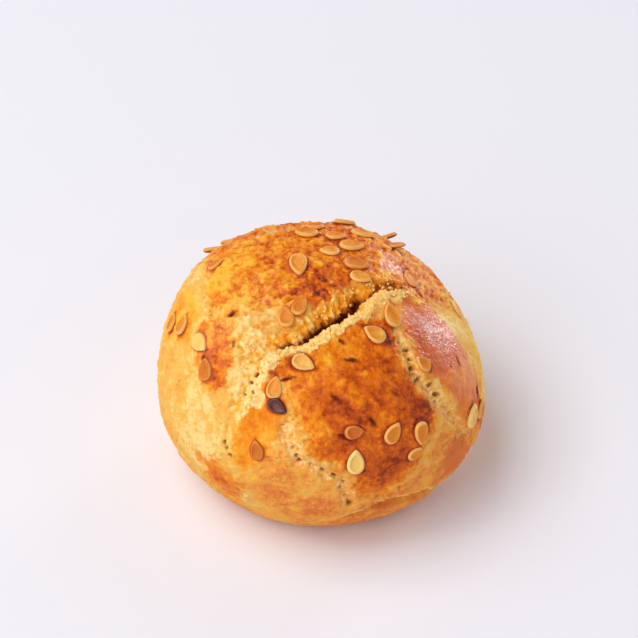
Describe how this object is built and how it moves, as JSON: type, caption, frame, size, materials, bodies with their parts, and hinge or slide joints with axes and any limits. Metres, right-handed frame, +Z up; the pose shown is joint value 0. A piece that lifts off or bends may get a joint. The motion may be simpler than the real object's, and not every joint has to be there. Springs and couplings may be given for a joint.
{
  "type": "cheese borek",
  "caption": "Small round savoury pastry with a glazed crust torn open over the top and sesame seeds baked on; rests on its flat base.",
  "frame": {"origin": "middle of the flat base, on the surface that the pastry stands on", "axes": "+Z up from the base, -Y towards the side with the wide tear, +X to the right seen from that side"},
  "size_m": [0.0493, 0.0492, 0.0372],
  "materials": {
    "crust": "baked dough, egg washed: glossy golden brown on top, matt and paler on the sides and in the tears",
    "sesame": "toasted sesame seed with a thin film of egg wash, satin"
  },
  "bodies": {
    "root": {"borek": "crust"}
  },
  "joints": []
}
